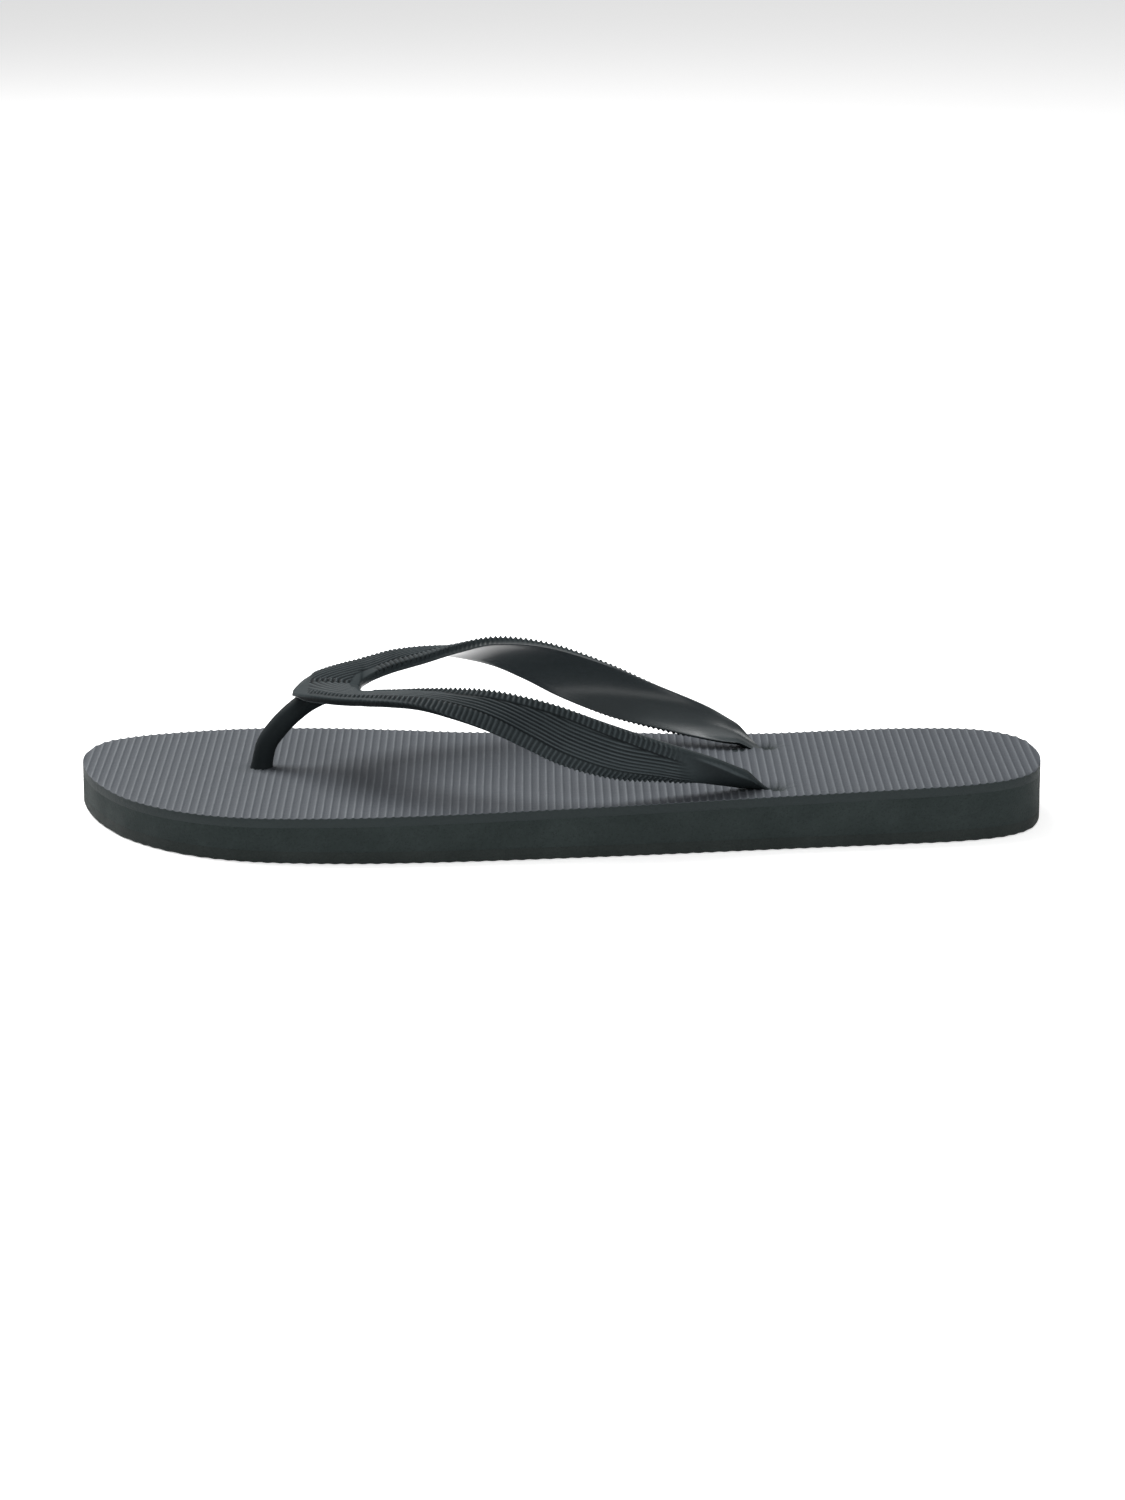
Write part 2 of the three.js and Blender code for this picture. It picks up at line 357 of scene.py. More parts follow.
def sole_layer(spacing, columns, top_rim, bottom_rim, top, bottom, relief, tread):
    """A closed layer: each row of the grid runs once round the cross section.

    Top and bottom are heights for places along the sole, relief and tread are added to them.
    """
    rim = max(top_rim, bottom_rim)
    x = stations(spacing)
    low = np.interp(x, outer_side[:, 0], outer_side[:, 1])
    high = np.interp(x, inner_side[:, 0], inner_side[:, 1])
    across = spread(low, high, rim, columns)
    rows, count = across.shape
    along = np.repeat(x[:, None], count, axis=1)
    places = np.stack([along, across], axis=-1).reshape(-1, 2)
    inset = nearest_on(np.vstack([edge_line, edge_line[:1]]), places)[0].reshape(rows, count)
    inset[:, 0] = 0.0
    inset[:, -1] = 0.0
    inset[0] = 0.0
    inset[-1] = 0.0
    raised, crest, hollow_shade = relief(along, across, inset)
    upper = top(along) - round_over(inset, top_rim) + raised
    lower = bottom(along) + round_over(inset, bottom_rim) + tread(along, across, inset)
    face_up = np.stack([along, across, upper], axis=-1)
    face_down = np.stack([along, across, lower], axis=-1)[:, ::-1]
    loop = np.concatenate([face_up, face_down, face_up[:, :1]], axis=1)
    under = np.zeros_like(crest)
    crests = np.concatenate([crest, under, crest[:, :1]], axis=1)
    # Painted shade in the grooves between the crests.
    painted_shade = 1 - ease(crest, 0.0, 0.3)
    painted_shades = np.concatenate([painted_shade, under, painted_shade[:, :1]], axis=1)
    # The footbed's sides, underside and hollows take the painted shade colour; the sides are the
    # same rubber as the top.
    edge = np.maximum(inset < 1e-6, hollow_shade)
    walls = np.concatenate([edge, under + 1, edge[:, :1]], axis=1)
    shape = grid_of(loop, {"crest": crests, "painted_shade": painted_shades, "wall": walls})
    bmesh.ops.remove_doubles(shape, verts=shape.verts, dist=0.004)
    return shape


def rib_phase(x):
    """How many ribs there are between the toe tip and x, for a pitch that widens slowly."""
    reach = (x - TOE_X) / SOLE_LENGTH
    mean_pitch = RIB_PITCH_TOE + (RIB_PITCH_HEEL - RIB_PITCH_TOE) * reach / 2
    return (x - TOE_X) / mean_pitch


def footbed_relief(x, y, inset):
    """Ribs across the footbed, and creased hollows where the strap is pulled into it, with
    painted shade in the hollows and along the creases.
    """
    wave = 0.5 + 0.5 * np.cos(2 * np.pi * rib_phase(x))
    crest = wave ** RIB_SHARPNESS
    raised = RIB_HEIGHT * (crest - 1)
    hollow_shade = np.zeros_like(x)
    middle = strap_middle(TAIL_TIP_X) + TAIL_TIP_SHIFT
    hollows = [
        (TOE_POST_X, TOE_POST_Y, POST_HOLLOW),
        (TAIL_TIP_X, middle - TAIL_TIP_SPREAD + 0.8, TAIL_HOLLOW),
        (TAIL_TIP_X, middle + TAIL_TIP_SPREAD + 0.8, TAIL_HOLLOW),
    ]
    for hollow_x, hollow_y, (radius, depth, shade) in hollows:
        away = np.hypot(x - hollow_x, y - hollow_y)
        gone = np.exp(-(away / radius) ** 2)
        turn = np.arctan2(y - hollow_y, x - hollow_x)
        crease = np.maximum(0.0, np.cos(CREASES * turn)) ** 2
        crease = crease * np.exp(-(away / (1.8 * radius)) ** 2)
        crease = crease * ease(away, 0.4, 1.2)
        raised = raised * (1 - gone) - depth * gone - CREASE_DEPTH * crease
        crest = crest * (1 - gone)
        shaded = np.clip(np.maximum(shade * gone, 0.7 * shade * crease), 0, 1)
        hollow_shade = np.maximum(hollow_shade, shaded)
    return raised, crest, hollow_shade


def plain(x, y, inset):
    """No relief: nothing raised, no crests and no painted shade."""
    return np.zeros_like(x), np.zeros_like(x), np.zeros_like(x)


def flat(x, y, inset):
    """No tread."""
    return np.zeros_like(x)


def tread(x, y, inset):
    """Wavy bars across the underside, shallower where they reach the edge."""
    bar = (x + TREAD_WAVE * np.sin(2 * np.pi * y / TREAD_WAVE_LENGTH)) / TREAD_PITCH
    depth = TREAD_DEPTH * (0.3 + 0.7 * ease(inset, 1.0, 6.0))
    return depth * (0.5 - 0.5 * np.cos(2 * np.pi * bar)) ** 0.8


def under_footbed(x):
    return top_of_sole(x) - FOOTBED_THICKNESS


# ---- Strap ----------------------------------------------------------------------------------

sections = np.array(STRAP_SECTIONS)
dense = np.linspace(0, 1, 6001)
inner_corners = sections[:, [0, 1, 2]] * (SOLE_LENGTH, SOLE_WIDTH, STRAP_ARCH_HEIGHT)
outer_corners = sections[:, [0, 3, 4]] * (SOLE_LENGTH, SOLE_WIDTH, STRAP_ARCH_HEIGHT)
RIM = 0.5
BORDER = 3.3
ROW_SPACING = 0.34
MERGE_DISTANCE = 0.004
NOSE_STEPS = np.array([0.0, 0.06, 0.22, 0.45, 0.7])

# Where along the sole the yoke ends and the legs begin, and where the bead rows run.
LEGS_START_X = -48.0
LEGS_FULL_X = -32.0
SPINE_HALF_WIDTH = 1.9
INNER_BORDER = 2.9
BEADS_START_X = -73.5
SPINE_BEADS_END_X = -62.0
INNER_BEADS_START_X = -55.5
BEADS_END_X = 37.0


def strap_rows():
    """Shares along a leg, one for each row, and which row is at the crotch of the yoke."""
    inner = smooth_curve(inner_corners, dense)
    outer = smooth_curve(outer_corners, dense)
    stride = np.maximum(
        np.linalg.norm(np.diff(inner, axis=0), axis=1),
        np.linalg.norm(np.diff(outer, axis=0), axis=1),
    )
    travelled = np.concatenate([[0.0], np.cumsum(stride)])
    smooth_from = np.interp(BEADS_END_X + 3, outer[:, 0], travelled)
    ribbed = np.arange(1.0, smooth_from, ROW_SPACING)
    tail = np.linspace(smooth_from, travelled[-1] - NOSE_STEPS[-1], 36)
    tip = travelled[-1] - NOSE_STEPS[:-1][::-1]
    stops = np.concatenate([NOSE_STEPS, ribbed, tail, tip])
    ahead = np.nonzero((inner[:-1, 1] < 0) & (inner[1:, 1] >= 0))[0][-1]
    crotch_at = travelled[ahead]
    stops = stops[np.abs(stops - crotch_at) > 0.12]
    crotch_row = int(np.searchsorted(stops, crotch_at))
    stops = np.insert(stops, crotch_row, crotch_at)
    return np.interp(stops, travelled, dense), crotch_row, travelled[-1], stops


def strap_relief(points, inner_line, outer_line):
    """Ribs and beads of the outer face: their height, how much crest (wear and painted highlight)
    and how much painted shade.
    """
    from_outer, outer_along = nearest_on(outer_line, points)
    from_inner, inner_along = nearest_on(inner_line, points)
    x = points[:, 0]
    apart = np.abs(points[:, 1])
    slant = x + 0.35 * (points[:, 2] - 20)
    stays = 1 - ease(slant, BEADS_END_X - 9, BEADS_END_X - 1)
    starts = ease(x, BEADS_START_X - 0.6, BEADS_START_X + 0.6)

    def bars(along):
        return (0.5 + 0.5 * np.cos(2 * np.pi * along / BEAD_PITCH)) ** 1.6

    # Along the yoke a smooth rim lies outside the beads; on the legs they reach the edge.
    leg = ease(x, LEGS_START_X, LEGS_FULL_X)
    outer_length = BEAD_LENGTH + (LOWER_BEAD_LENGTH - BEAD_LENGTH) * leg
    patterned = stays * starts
    outer_part = np.maximum(leg, ease(from_outer, 0.6, 1.0))
    beaded_inside = ease(x, INNER_BEADS_START_X, INNER_BEADS_START_X + 2)
    outer_band = ease(outer_length - from_outer, 0.0, 0.4) * outer_part
    inner_band = ease(BEAD_LENGTH - from_inner, 0.0, 0.4) * beaded_inside
    spine = 1 - ease(x, SPINE_BEADS_END_X - 0.5, SPINE_BEADS_END_X + 0.5)
    spine_band = ease(SPINE_HALF_WIDTH - apart, 0.0, 0.4) * ease(apart, 0.05, 0.4)
    spine_band = spine_band * spine * (x < SPINE_BEADS_END_X + 1)
    beads = np.maximum(outer_band * bars(outer_along), inner_band * bars(inner_along))
    beads = np.maximum(beads, spine_band * bars(x - BEADS_START_X))
    # The ribs spread apart where the legs widen into the yoke.
    pitch = STRAP_RIB_PITCH + (YOKE_RIB_PITCH - STRAP_RIB_PITCH) * (1 - ease(x, -66.0, -28.0))
    phase = (from_outer - outer_length) / pitch
    ribs = (0.5 - 0.5 * np.cos(2 * np.pi * phase)) ** 1.1
    past_inner_row = ease(from_inner, INNER_BORDER, INNER_BORDER + 0.3)
    beside_spine = ease(apart, SPINE_HALF_WIDTH, SPINE_HALF_WIDTH + 0.3)
    ribbed = ease(from_outer - outer_length, 0.1, 0.4) * past_inner_row
    ribbed = ribbed * np.where(x > -60, 1.0, beside_spine)
    height = (BEAD_HEIGHT * beads + STRAP_RIB_HEIGHT * ribs * ribbed) * patterned
    crest = np.maximum(beads, ribs * ribbed) * patterned
    inner_part = np.maximum(beaded_inside, past_inner_row)
    # Painted shade in the grooves between ribs and beads, lighter between the bead bars on the
    # legs.
    painted_shade = patterned * outer_part * inner_part * (1 - ease(crest, 0.0, 0.45))
    between_beads = np.maximum(outer_band, inner_band) * leg
    painted_shade = painted_shade * (1 - 0.4 * between_beads)

    # Painted shade darkens the smooth tails, but for a painted highlight along their upper edge.
    tail = ease(slant, BEADS_END_X - 9, BEADS_END_X + 5)
    painted_shade = np.maximum(painted_shade, 0.8 * tail)
    upper_edge_highlight = tail * ease(0.9 - from_inner, 0.0, 0.5)
    return height, np.maximum(crest, upper_edge_highlight), painted_shade * (1 - upper_edge_highlight)


def strap_legs():
    """Both legs and the yoke, in the strap's own frame, then laid over the sole."""
    shares, crotch_row, length, stops = strap_rows()
    inner = smooth_curve(inner_corners, shares)
    outer = smooth_curve(outer_corners, shares)
    ahead = np.arange(len(shares)) <= crotch_row
    reach = -inner[:, 1] / (outer[:, 1] - inner[:, 1])
    inner = np.where(ahead[:, None], inner + (outer - inner) * reach[:, None], inner)
    inner[ahead, 1] = 0.0
    across = outer - inner
    width = np.linalg.norm(across, axis=1)
    across /= width[:, None]
    upward = np.stack([np.zeros(len(shares)), -across[:, 2], across[:, 1]], axis=1)
    heading = np.gradient(outer, axis=0)
    heading /= np.linalg.norm(heading, axis=1)[:, None]
    lean = np.einsum("ij,ij->i", heading, across)
    facing = np.clip(np.sqrt(1 - lean ** 2), 0.5, 1)

    border = np.minimum(BORDER, 0.4 * width)
    rim_steps = RIM_STEPS * RIM
    inner_steps = np.concatenate([rim_steps, np.linspace(RIM, BORDER, 12)[1:]]) / BORDER
    rib_steps = np.arange(3, 101) * STRAP_RIB_PITCH / 4
    outer_steps = np.concatenate([rim_steps, rib_steps])
    from_inner = inner_steps[None] * border[:, None]
    from_outer = outer_steps[None] / facing[:, None]
    from_outer = np.minimum(from_outer, (width - border)[:, None])
    face = np.hstack([from_inner, width[:, None] - from_outer[:, ::-1]])
    under_steps = np.concatenate([rim_steps / 12, np.linspace(RIM / 12, 0.5, 6)[1:]])
    under_half = under_steps[None] * width[:, None]
    under = np.hstack([width[:, None] - under_half, under_half[:, -2::-1]])

    body = ease(shares, 0, STRAP_END_TAPER) * ease(1 - shares, 0, TAIL_END_TAPER)
    inner[:, 2] -= TAIL_TIP_SINK * ease(shares, 0.94, 1.0)
    outer[:, 2] -= TAIL_EDGE_SINK * ease(shares, 0.80, 0.94)
    thickness = STRAP_END_THICKNESS + (STRAP_THICKNESS - STRAP_END_THICKNESS) * body
    end_gap = np.minimum(stops, length - stops) / (0.5 * STRAP_END_THICKNESS)
    closing = np.maximum(np.sqrt(1 - (1 - np.clip(end_gap, 0, 1)) ** 2), 0.08)

    # The crown runs across the whole yoke, and across each leg behind the crotch.
    yoke = 1 - ease(inner[:, 0], -66.0, -50.0)
    arch = STRAP_CROWN + (REAR_CROWN - STRAP_CROWN) * ease(inner[:, 0], -30.0, 10.0)
    shoulder = YOKE_SHOULDER_DROP + (SHOULDER_DROP - YOKE_SHOULDER_DROP) * ease(
        inner[:, 0], -60.0, -25.0
    )

    def place(offset, side):
        flat_place = inner[:, None] + across[:, None] * offset[..., None]
        leg_crown = 1 - (2 * offset / width[:, None] - 1) ** 2
        yoke_crown = 1 - (flat_place[..., 1] / outer[:, None, 1]) ** 2
        crown = leg_crown + (yoke_crown - leg_crown) * yoke[:, None]
        middle = arch[:, None] * body[:, None] * crown - thickness[:, None] / 2
        rows, columns = offset.shape
        flat_points = flat_place.reshape(-1, 3)
        gap_outer = nearest_on(outer_line, flat_points)[0]
        gap_inner = nearest_on(inner_line, flat_points)[0]
        gap = np.minimum(gap_outer, gap_inner).reshape(rows, columns)
        half = thickness[:, None] / 2 - round_over(gap, RIM)
        if side > 0:
            slope = 1 - ease(gap_outer, 0.0, SHOULDER_WIDTH).reshape(rows, columns)
            half = half - shoulder[:, None] * slope * body[:, None]
        depth = middle + side * half * closing[:, None]
        return flat_place + upward[:, None] * depth[..., None]

    fine = np.linspace(0, 1, 1601)
    outer_line = smooth_curve(outer_corners, fine)
    outer_line = np.vstack([[outer_line[0, 0], 0.0, outer_line[0, 2]], outer_line])
    inner_line = smooth_curve(inner_corners, fine)
    inner_line = inner_line[inner_line[:, 1] > 0]
    inner_line = np.vstack([inner[crotch_row], inner_line])

    face_points = place(face, 1)
    rows, columns = face.shape
    height, crest, painted_shade = strap_relief(face_points.reshape(-1, 3), inner_line, outer_line)
    lift = height.reshape(rows, columns) * closing[:, None]
    # At the rims the beads stand out sideways too.
    sideways = ease(face, width[:, None] - 1.0, width[:, None]) - ease(1.0 - face, 0.0, 1.0)
    lift_way = upward[:, None] + 0.7 * across[:, None] * sideways[..., None]
    face_points = face_points + lift_way * lift[..., None]
    under_points = place(under, -1)
    # Ahead of the crotch both faces meet their mirror images on the middle line.
    front = slice(0, crotch_row + 1)
    for points, offset, end in ((face_points, face, 0), (under_points, under, -1)):
        shift = points[front, end, 1].copy()
        points[front, :, 1] -= shift[:, None] * (1 - offset[front] / width[front, None])
    outer_wall = (face_points[:, -1:] + under_points[:, :1]) / 2
    inner_wall = (face_points[:, :1] + under_points[:, -1:]) / 2
    loop = np.concatenate(
        [face_points, outer_wall, under_points, inner_wall, face_points[:, :1]], axis=1
    )
    crests = np.zeros(loop.shape[:2])
    crests[:, :columns] = crest.reshape(rows, columns)
    painted_shades = np.zeros(loop.shape[:2])
    painted_shades[:, :columns] = painted_shade.reshape(rows, columns)
    # Painted shade on the strap's outer wall and the first strip under it.
    painted_shades[:, columns:columns + 2] = 1.0
    hidden = np.zeros(loop.shape[:2])
    hidden[:, columns + 2:-2] = 1.0
    shape = grid_of(loop, {"crest": crests, "painted_shade": painted_shades, "inner_face": hidden})

    # Ahead of the crotch the two legs are one plate, so the wall on the middle line goes.
    shape.verts.ensure_lookup_table()
    shape.verts.index_update()
    total = loop.shape[1]
    wall_faces = []
    for item in shape.faces:
        corner_rows = [vert.index // total for vert in item.verts]
        corner_columns = [vert.index % total for vert in item.verts]
        if min(corner_columns) >= total - 3 and max(corner_rows) <= crotch_row:
            wall_faces.append(item)
    bmesh.ops.delete(shape, geom=wall_faces, context="FACES")
    bmesh.ops.remove_doubles(shape, verts=shape.verts, dist=0.012)
    bmesh.ops.mirror(
        shape,
        geom=shape.verts[:] + shape.edges[:] + shape.faces[:],
        merge_dist=MERGE_DISTANCE,
        axis="Y",
    )
    bmesh.ops.remove_doubles(shape, verts=shape.verts, dist=MERGE_DISTANCE)
    open_edges = [edge for edge in shape.edges if edge.is_boundary]
    bmesh.ops.holes_fill(shape, edges=open_edges, sides=0)
    for vert in shape.verts:
        vert.co.y += strap_middle(vert.co.x)
        near_tip = float(ease(vert.co.x, TAIL_BEND_X, TAIL_TIP_X))
        vert.co.x -= TAIL_TIP_PULL * near_tip
        vert.co.y += TAIL_TIP_SHIFT * near_tip
        vert.co.z += top_of_sole(vert.co.x)
    return shape


# ---- Toe post, stems and buttons ------------------------------------------------------------

def toe_post_shape():
    """A round post swept up its line, flaring where it meets the yoke and the footbed."""
    line = smooth_curve(
        [
            (TOE_POST_X + lean * STRAP_ARCH_HEIGHT,
             TOE_POST_Y,
             top_of_sole(TOE_POST_X) + rise * STRAP_ARCH_HEIGHT)
            for lean, rise in TOE_POST_LINE
        ],
        np.linspace(0, 1, 40),
    )
    heading = np.gradient(line, axis=0)
    shape = bmesh.new()
    ring = bmesh.ops.create_circle(shape, cap_ends=True, segments=40, radius=1.0)["verts"]
    rings = [ring]
    edges = [edge for edge in shape.edges if edge.is_boundary or len(edge.link_faces) == 1]
    for _ in line[1:]:
        grown = bmesh.ops.extrude_edge_only(shape, edges=edges)["geom"]
        ring = [item for item in grown if isinstance(item, bmesh.types.BMVert)]
        edges = [
            item for item in grown
            if isinstance(item, bmesh.types.BMEdge) and all(vert in ring for vert in item.verts)
        ]
        rings.append(ring)
    bmesh.ops.holes_fill(shape, edges=edges, sides=0)
    for number, (ring, centre) in enumerate(zip(rings, line)):
        share = number / (len(line) - 1)
        flare = POST_FLARE * max(0.0, (share - 0.7) / 0.3) ** 2.0
        foot = POST_FOOT * max(0.0, 1 - share / 0.12) ** 1.5
        radius = TOE_POST_RADIUS + flare + foot
        turn = Vector(heading[number]).to_track_quat("Z", "Y").to_matrix().to_4x4()
        size = Matrix.Diagonal((radius, radius, 1, 1))
        bmesh.ops.transform(
            shape, verts=ring, matrix=Matrix.Translation(Vector(centre)) @ turn @ size
        )
    # Painted shade over the whole toe post.
    painted_shade = shape.verts.layers.float.new("painted_shade")
    for vert in shape.verts:
        vert[painted_shade] = POST_PAINTED_SHADE
    return shape


def turned(profile, steps):
    """A profile of (radius, height) points spun right round the Z axis."""
    shape = bmesh.new()
    verts = [shape.verts.new((radius, 0.0, height)) for radius, height in profile]
    edges = [shape.edges.new(pair) for pair in zip(verts, verts[1:])]
    bmesh.ops.spin(
        shape,
        geom=verts + edges,
        cent=(0, 0, 0),
        axis=(0, 0, 1),
        angle=2 * math.pi,
        steps=steps,
        use_merge=True,
        use_duplicate=False,
    )
    bmesh.ops.remove_doubles(shape, verts=shape.verts, dist=0.001)
    return shape


def stem_and_button(x, y, stem_radius, stem_top):
    """A stem through the sole with a domed button below, which has a moulded ring."""
    base = BUTTON_RECESS
    profile = [
        (0.0, base + 0.15), (1.6, base + 0.15), (1.9, base + 0.45), (2.5, base + 0.45),
        (2.8, base + 0.05), (3.3, base), (4.6, base + 0.02), (5.6, base + 0.16),
        (6.4, base + 0.48), (6.85, base + 0.95), (BUTTON_RADIUS, base + 1.5),
        (BUTTON_RADIUS, OUTSOLE_THICKNESS - 0.3), (6.7, OUTSOLE_THICKNESS),
        (stem_radius + 1.0, OUTSOLE_THICKNESS + 0.05), (stem_radius, OUTSOLE_THICKNESS + 0.8),
        (stem_radius, stem_top), (stem_radius - 0.5, stem_top + 0.4), (0.0, stem_top + 0.5),
    ]
    shape = turned(profile, 56)
    bmesh.ops.translate(shape, verts=shape.verts, vec=(x, y, 0.0))
    return shape


# ---- Materials ------------------------------------------------------------------------------

def new_group(name, inputs, outputs):
    group = bpy.data.node_groups.new(name, "ShaderNodeTree")
    for label, kind, default in inputs:
        socket = group.interface.new_socket(label, in_out="INPUT", socket_type=kind)
        socket.default_value = default
    for label, kind in outputs:
        group.interface.new_socket(label, in_out="OUTPUT", socket_type=kind)
    start = group.nodes.new("NodeGroupInput")
    end = group.nodes.new("NodeGroupOutput")
    return group, start, end


def math_node(tree, operation, first, second):
    node = tree.nodes.new("ShaderNodeMath")
    node.operation = operation
    for socket, value in zip(node.inputs, (first, second)):
        if isinstance(value, (int, float)):
            socket.default_value = value
        else:
            tree.links.new(value, socket)
    return node.outputs[0]


def mix_colours(tree, share, first, second, blend="MIX"):
    node = tree.nodes.new("ShaderNodeMix")
    node.data_type = "RGBA"
    node.blend_type = blend
    for index, value in ((0, share), (6, first), (7, second)):
        if isinstance(value, (int, float, tuple)):
            node.inputs[index].default_value = value
        else:
            tree.links.new(value, node.inputs[index])
    return node.outputs[2]


def range_of(tree, value, from_low, from_high, to_low, to_high):
    node = tree.nodes.new("ShaderNodeMapRange")
    node.interpolation_type = "SMOOTHSTEP"
    tree.links.new(value, node.inputs[0])
    for index, limit in enumerate((from_low, from_high, to_low, to_high), start=1):
        node.inputs[index].default_value = limit
    return node.outputs[0]


def noise_of(tree, place, scale, detail, roughness=0.5):
    node = tree.nodes.new("ShaderNodeTexNoise")
    node.inputs["Detail"].default_value = detail
    node.inputs["Roughness"].default_value = roughness
    tree.links.new(place, node.inputs["Vector"])
    if isinstance(scale, (int, float)):
        node.inputs["Scale"].default_value = scale
    else:
        tree.links.new(scale, node.inputs["Scale"])
    return node.outputs["Fac"]


def build_mottle():
    """Cloudy light and dark areas in a moulded colour, at two sizes."""
    group, start, end = new_group(
        "mottle",
        [
            ("Colour", "NodeSocketColor", (0.1, 0.1, 0.1, 1.0)),
            ("Cloud Scale", "NodeSocketFloat", 60.0),
            ("Speckle Scale", "NodeSocketFloat", 900.0),
            ("Strength", "NodeSocketFloat", 0.2),
        ],
        [("Colour", "NodeSocketColor"), ("Clouds", "NodeSocketFloat")],
    )
    place = group.nodes.new("ShaderNodeTexCoord").outputs["Object"]
    clouds = noise_of(group, place, start.outputs["Cloud Scale"], 4.0, 0.6)
    speckle = noise_of(group, place, start.outputs["Speckle Scale"], 2.0, 0.6)
    both = math_node(
        group, "ADD",
        math_node(group, "MULTIPLY", clouds, 0.6), math_node(group, "MULTIPLY", speckle, 0.4),
    )
    swing = math_node(group, "MULTIPLY", math_node(group, "SUBTRACT", both, 0.5), 4.0)
    swing = math_node(group, "MULTIPLY", swing, start.outputs["Strength"])
    gain = math_node(group, "ADD", swing, 1.0)
    lit = group.nodes.new("ShaderNodeVectorMath")
    lit.operation = "SCALE"
    group.links.new(start.outputs["Colour"], lit.inputs[0])
    group.links.new(gain, lit.inputs["Scale"])
    group.links.new(lit.outputs[0], end.inputs["Colour"])
    group.links.new(clouds, end.inputs["Clouds"])
    return group


def build_pores():
    """Small pits of a foam or rubber skin: a height and a mask of where the pits are."""
    group, start, end = new_group(
        "pores",
        [
            ("Pore Scale", "NodeSocketFloat", 1200.0),
            ("Pore Size", "NodeSocketFloat", 0.35),
            ("Grain Scale", "NodeSocketFloat", 3500.0),
            ("Grain", "NodeSocketFloat", 0.4),
        ],
        [("Height", "NodeSocketFloat"), ("Pits", "NodeSocketFloat")],
    )
    place = group.nodes.new("ShaderNodeTexCoord").outputs["Object"]
    cells = group.nodes.new("ShaderNodeTexVoronoi")
    cells.feature = "F1"
    group.links.new(place, cells.inputs["Vector"])
    group.links.new(start.outputs["Pore Scale"], cells.inputs["Scale"])
    depth = math_node(group, "DIVIDE", cells.outputs["Distance"], start.outputs["Pore Size"])
    pits = math_node(group, "SUBTRACT", 1.0, math_node(group, "MINIMUM", depth, 1.0))
    grain = noise_of(group, place, start.outputs["Grain Scale"], 3.0, 0.6)
    rough = math_node(group, "MULTIPLY", grain, start.outputs["Grain"])
    height = math_node(group, "SUBTRACT", rough, pits)
    group.links.new(height, end.inputs["Height"])
    group.links.new(pits, end.inputs["Pits"])
    return group


def build_crest_wear_and_shade():
    """Crests lighter than the grooves between them: wear and painted highlight on the crests,
    painted shade in the grooves.
    """
    group, start, end = new_group(
        "crest wear and painted shade",
        [
            ("Colour", "NodeSocketColor", (0.1, 0.1, 0.1, 1.0)),
            ("Crest Colour", "NodeSocketColor", (0.2, 0.2, 0.2, 1.0)),
            ("Painted Shade Colour", "NodeSocketColor", (0.05, 0.05, 0.05, 1.0)),
            ("Patchiness", "NodeSocketFloat", 0.4),
            ("Gloss Change", "NodeSocketFloat", 0.1),
            ("Roughness", "NodeSocketFloat", 0.6),
        ],
        [("Colour", "NodeSocketColor"), ("Roughness", "NodeSocketFloat")],
    )
    crest = group.nodes.new("ShaderNodeAttribute")
    crest.attribute_name = "crest"
    place = group.nodes.new("ShaderNodeTexCoord").outputs["Object"]
    patches = noise_of(group, place, 90.0, 5.0, 0.65)
    patches = range_of(group, patches, 0.35, 0.65, 0.0, 1.0)
    kept = math_node(group, "MULTIPLY", patches, start.outputs["Patchiness"])
    kept = math_node(group, "SUBTRACT", 1.0, kept)
    high = range_of(group, crest.outputs["Fac"], 0.45, 1.0, 0.0, 1.0)
    high = math_node(group, "MULTIPLY", high, kept)
    painted_shade = group.nodes.new("ShaderNodeAttribute")
    painted_shade.attribute_name = "painted_shade"
    groove_shaded = mix_colours(
        group, painted_shade.outputs["Fac"], start.outputs["Colour"], start.outputs["Painted Shade Colour"]
    )
    worn_and_shaded = mix_colours(group, high, groove_shaded, start.outputs["Crest Colour"])
    change = math_node(group, "MULTIPLY", high, start.outputs["Gloss Change"])
    gloss = math_node(group, "SUBTRACT", start.outputs["Roughness"], change)
    group.links.new(worn_and_shaded, end.inputs["Colour"])
    group.links.new(gloss, end.inputs["Roughness"])
    return group


mottle_group = build_mottle()
pores_group = build_pores()
wear_and_shade_group = build_crest_wear_and_shade()


def placed(tree, group, values):
    node = tree.nodes.new("ShaderNodeGroup")
    node.node_tree = group
    for label, value in values.items():
        if isinstance(value, (int, float, tuple)):
            node.inputs[label].default_value = value
        else:
            tree.links.new(value, node.inputs[label])
    return node


def new_finish(name, specular):
    material = bpy.data.materials.new(name)
    material.use_nodes = True
    tree = material.node_tree
    shader = tree.nodes["Principled BSDF"]
    shader.inputs["Specular IOR Level"].default_value = specular
    return material, tree, shader


def raise_bump(tree, shader, height, distance, strength):
    bump = tree.nodes.new("ShaderNodeBump")
    bump.inputs["Distance"].default_value = distance
    bump.inputs["Strength"].default_value = strength
    tree.links.new(height, bump.inputs["Height"])
    tree.links.new(bump.outputs["Normal"], shader.inputs["Normal"])


FOAM_COLOUR = (0.0190, 0.0260, 0.0255, 1.0)
# Painted shade for the footbed's sides and hollows; the footbed is one rubber, lit paler on top.
FOOTBED_PAINTED_SHADE_COLOUR = (0.0170, 0.0235, 0.0242, 1.0)


